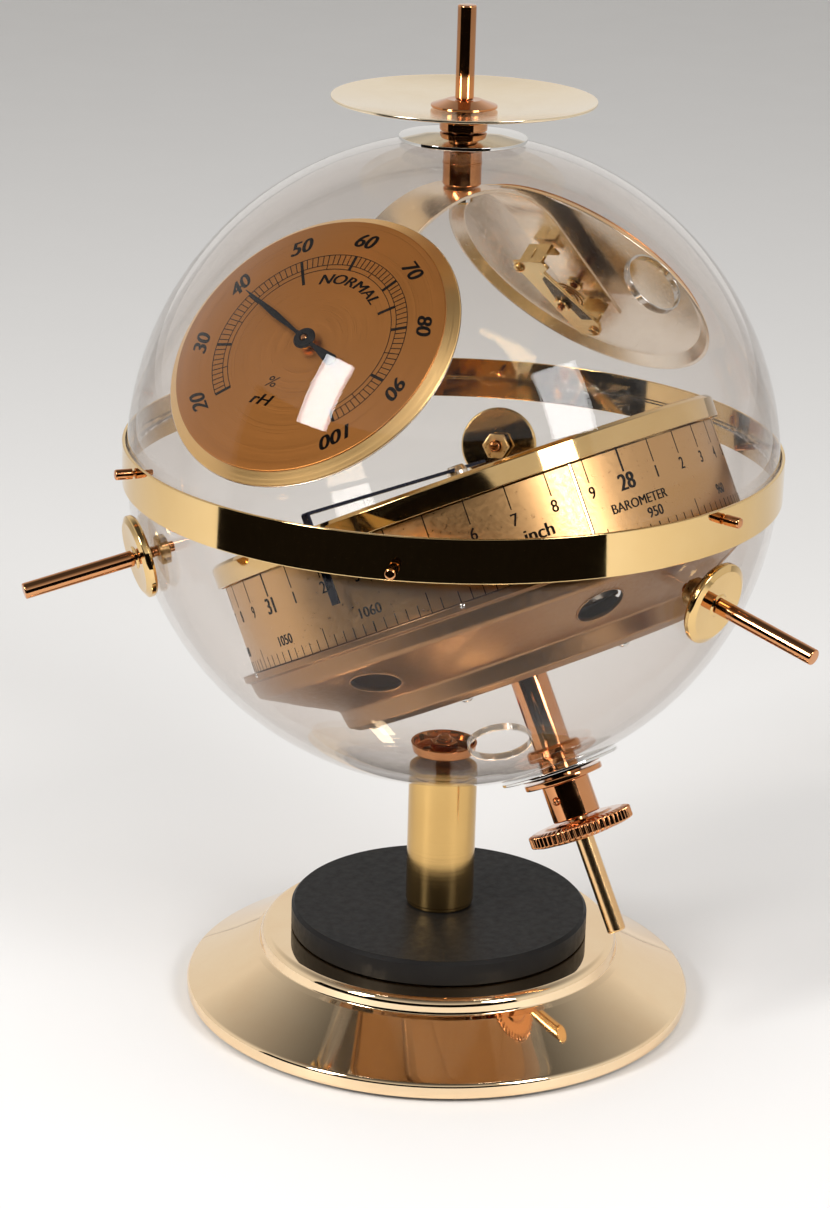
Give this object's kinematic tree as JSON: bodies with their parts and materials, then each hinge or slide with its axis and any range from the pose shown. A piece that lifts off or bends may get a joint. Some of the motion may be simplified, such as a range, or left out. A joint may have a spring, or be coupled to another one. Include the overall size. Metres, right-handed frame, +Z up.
{
  "type": "desk weather station",
  "caption": "Clear globe on a turned gold foot, holding a hygrometer, a thermometer and a tilted drum barometer, with antenna rods round it and a dish on top.",
  "frame": {"origin": "on the globe's vertical axis at the underside of the base pad", "axes": "+Z up along the post; -Y is the front, the side of the barometer's knob and the front antenna; -X is the hygrometer's side"},
  "size_m": [0.2116, 0.2171, 0.284],
  "materials": {
    "felt": "black felt",
    "polished_gold": "polished gold plate",
    "satin_gold": "satin gold",
    "copper": "polished copper-coloured plate",
    "housing_copper": "satin copper-bronze",
    "dial_bronze": "satin bronze",
    "satin_steel": "satin",
    "chrome": "polished",
    "cast_iron": "raw",
    "black_satin": "satin black",
    "black_hand": "black enamel",
    "clear_acrylic": "clear, faintly warm"
  },
  "bodies": {
    "station": {"base_pad": "felt", "foot_shell": "polished_gold", "equator_band": "polished_gold", "barometer_bezel": "polished_gold", "antenna_disc_front": "polished_gold", "antenna_disc_right": "polished_gold", "antenna_disc_left": "polished_gold", "post_tube": "satin_gold", "top_dish": "satin_gold", "barometer_scale": "satin_gold", "barometer_bridge": "satin_gold", "hygrometer_bracket": "satin_gold", "thermometer_bracket": "satin_gold", "antenna_nut_front": "satin_gold", "antenna_nut_right": "satin_gold", "antenna_nut_left": "satin_gold", "tie_rod": "copper", "globe_cup_washer": "copper", "globe_nut": "copper", "top_rod": "copper", "top_cap_washer": "copper", "top_spacer": "copper", "hanger_stem": "copper", "barometer_stem": "copper", "stem_nut": "copper", "stem_lock_washer": "copper", "stem_collar": "copper", "antenna_rod_front": "copper", "antenna_rod_right": "copper", "antenna_rod_left": "copper", "band_screw_1": "copper", "band_screw_2": "copper", "band_screw_3": "copper", "band_screw_4": "copper", "band_screw_5": "copper", "band_screw_6": "copper", "barometer_housing": "housing_copper", "hygrometer_pan": "dial_bronze", "hygrometer_coil": "dial_bronze", "thermometer_coil": "dial_bronze", "thermometer_pan": "satin_steel", "hanger_strap": "satin_steel", "barometer_capsule": "satin_steel", "top_washer": "chrome", "stem_washer": "chrome", "hanger_screw": "chrome", "foot_weight": "cast_iron", "plinth_disc": "black_satin", "globe_upper": "clear_acrylic", "globe_lower": "clear_acrylic"},
    "hygrometer_hand_body": {"hygrometer_hand": "black_hand", "hygrometer_arbor": "copper"},
    "thermometer_hand_body": {"thermometer_hand": "black_hand", "thermometer_arbor": "copper"},
    "barometer_hand_body": {"barometer_pointer": "black_hand", "barometer_arbor": "satin_steel"},
    "barometer_sector_body": {"barometer_sector": "satin_gold"},
    "barometer_lever_body": {"barometer_lever": "satin_gold"},
    "calibration_body": {"calibration_knob": "polished_gold", "calibration_rod": "copper"}
  },
  "joints": [
    {"name": "hygrometer_hand", "type": "hinge", "parent": "station", "child": "hygrometer_hand_body", "pos_m": [-0.0557, 0.0026, 0.2], "axis": [-0.7082, -0.0433, 0.7046], "range_deg": [-204, 68], "stiffness_Nm_per_rad": 0.0015},
    {"name": "thermometer_hand", "type": "hinge", "parent": "station", "child": "thermometer_hand_body", "pos_m": [0.0512, -0.0018, 0.2025], "axis": [0.7192, -0.0151, 0.6947], "range_deg": [-136, 136], "stiffness_Nm_per_rad": 0.0015},
    {"name": "barometer_hand", "type": "hinge", "parent": "station", "child": "barometer_hand_body", "pos_m": [0, 0, 0.1593], "axis": [0, 0.4617, 0.887], "range_deg": [-335, 20], "stiffness_Nm_per_rad": 0.01},
    {"name": "barometer_sector_swing", "type": "hinge", "parent": "station", "child": "barometer_sector_body", "pos_m": [-0.01962, 0, 0.1593], "axis": [0, 0.4617, 0.887], "range_deg": [-2, 28]},
    {"name": "barometer_lever_rock", "type": "hinge", "parent": "station", "child": "barometer_lever_body", "pos_m": [0.018, -0.01778, 0.12515], "axis": [0, 0.887, -0.4617], "range_deg": [-6, 1]},
    {"name": "calibration_turn", "type": "hinge", "parent": "station", "child": "calibration_body", "pos_m": [0, 0, 0.1593], "axis": [0, 0.4617, 0.887], "range_deg": [-180, 180]}
  ],
  "couplings": [
    {"joint": "barometer_sector_swing", "follows": "barometer_hand", "ratio": -0.083333},
    {"joint": "barometer_lever_rock", "follows": "barometer_hand", "ratio": 0.016667}
  ]
}
